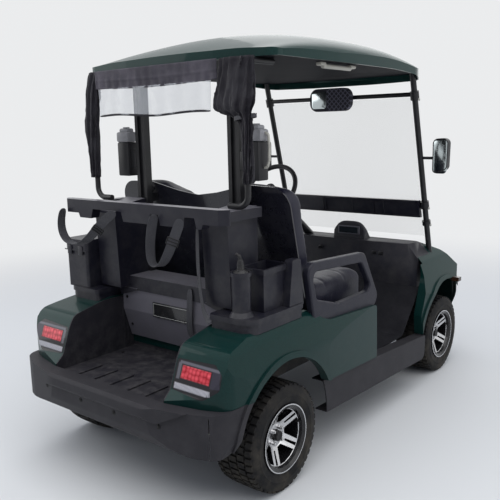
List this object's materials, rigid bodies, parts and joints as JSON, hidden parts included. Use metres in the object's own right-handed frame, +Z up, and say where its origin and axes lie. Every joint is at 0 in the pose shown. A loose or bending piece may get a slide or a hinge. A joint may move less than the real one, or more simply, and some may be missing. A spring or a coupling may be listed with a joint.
{
  "type": "golf cart",
  "caption": "Two-seat electric golf cart with a roof, leaning windscreen, rear bag well and rack; it rolls, steers and its seat lifts.",
  "frame": {"origin": "on the ground under the middle of the cart's outline", "axes": "+Y forward, +X to the cart's right side, +Z up"},
  "size_m": [1.3064, 2.54, 1.9033],
  "materials": {
    "body_paint": "dark metallic green with clear coat",
    "charcoal_plastic": "grained moulding",
    "black_plastic": "satin black moulding",
    "plate_black": "gloss",
    "floor_rubber": "ribbed mat",
    "black_metal": "satin black powder coat",
    "frame_steel": "black paint",
    "bare_steel": "zinc plated",
    "axle_iron": "painted",
    "tyre": "block tread",
    "alloy": "machined faces with black pockets",
    "vinyl": "dark vinyl",
    "black_cloth": "woven cover cloth",
    "webbing": "flat webbing",
    "clear_pane": "clear acrylic",
    "lamp_red": "moulded lens",
    "lamp_clear": "moulded lens"
  },
  "bodies": {
    "cart": {"back_panel": "black_plastic", "bag_rack": "black_plastic", "bag_straps": "webbing", "bag_well": "charcoal_plastic", "ball_washer": "black_plastic", "battery_pack": "black_plastic", "blank_plate": "plate_black", "centre_mirror": "black_plastic", "chassis_frame": "frame_steel", "cover_rolls": "black_cloth", "cover_tubes": "black_metal", "dashboard": "black_plastic", "drive_motor": "axle_iron", "floor_pan": "floor_rubber", "front_axle": "axle_iron", "front_bumper": "charcoal_plastic", "front_cowl": "body_paint", "front_indicators": "black_plastic", "front_springs": "frame_steel", "headlamps": "lamp_clear", "hip_restraints": "charcoal_plastic", "pedals": "black_metal", "rear_axle": "axle_iron", "rear_body": "body_paint", "rear_bumper": "charcoal_plastic", "rear_cover": "black_cloth", "rear_springs": "frame_steel", "roof": "body_paint", "roof_liner": "black_plastic", "roof_struts": "black_metal", "screen_frame": "black_metal", "screen_tray": "plate_black", "seat_backs": "vinyl", "seat_hinges": "bare_steel", "seat_shell": "black_plastic", "side_caddies": "black_plastic", "side_mirrors": "black_plastic", "sills": "charcoal_plastic", "steering_column": "black_metal", "tail_lamps": "lamp_red", "windscreen": "clear_pane"},
    "rear_right_wheel": {"tyre_rear_right": "tyre", "rim_rear_right": "alloy"},
    "rear_left_wheel": {"tyre_rear_left": "tyre", "rim_rear_left": "alloy"},
    "front_right_wheel": {"tyre_front_right": "tyre", "rim_front_right": "alloy"},
    "front_left_wheel": {"tyre_front_left": "tyre", "rim_front_left": "alloy"},
    "right_knuckle": {"knuckle_right": "axle_iron"},
    "left_knuckle": {"knuckle_left": "axle_iron"},
    "track_rod": {"tie_rod": "bare_steel"},
    "wheel_for_steering": {"steering_wheel": "black_plastic"},
    "seat_lid": {"seat_cushion": "vinyl"}
  },
  "joints": [
    {"name": "rear_right_roll", "type": "hinge", "parent": "cart", "child": "rear_right_wheel", "pos_m": [0.505, -0.78, 0.2285], "axis": [-1, 0, 0], "continuous": true},
    {"name": "rear_left_roll", "type": "hinge", "parent": "cart", "child": "rear_left_wheel", "pos_m": [-0.505, -0.78, 0.2285], "axis": [-1, 0, 0], "continuous": true},
    {"name": "steering_turn", "type": "hinge", "parent": "cart", "child": "wheel_for_steering", "pos_m": [-0.275, 0.299, 1.112], "axis": [0, -0.8, 0.6], "range_deg": [-336, 336]},
    {"name": "right_steer", "type": "hinge", "parent": "cart", "child": "right_knuckle", "pos_m": [0.35, 0.89, 0.199], "axis": [0, 0, 1], "range_deg": [-28, 28]},
    {"name": "left_steer", "type": "hinge", "parent": "cart", "child": "left_knuckle", "pos_m": [-0.35, 0.89, 0.199], "axis": [0, 0, 1], "range_deg": [-28, 28]},
    {"name": "front_right_roll", "type": "hinge", "parent": "right_knuckle", "child": "front_right_wheel", "pos_m": [0.461, 0.89, 0.2285], "axis": [-1, 0, 0], "continuous": true},
    {"name": "front_left_roll", "type": "hinge", "parent": "left_knuckle", "child": "front_left_wheel", "pos_m": [-0.461, 0.89, 0.2285], "axis": [-1, 0, 0], "continuous": true},
    {"name": "track_rod_slide", "type": "slide", "parent": "cart", "child": "track_rod", "axis": [1, 0, 0], "range_m": [-0.0517, 0.0517]},
    {"name": "seat_lift", "type": "hinge", "parent": "cart", "child": "seat_lid", "pos_m": [0, 0.022, 0.61], "axis": [-1, 0, 0], "range_deg": [0, 60]}
  ],
  "couplings": [
    {"joint": "right_steer", "follows": "steering_turn", "ratio": 0.083333},
    {"joint": "left_steer", "follows": "steering_turn", "ratio": 0.083333},
    {"joint": "track_rod_slide", "follows": "steering_turn", "m_per_rad": 0.0088}
  ]
}
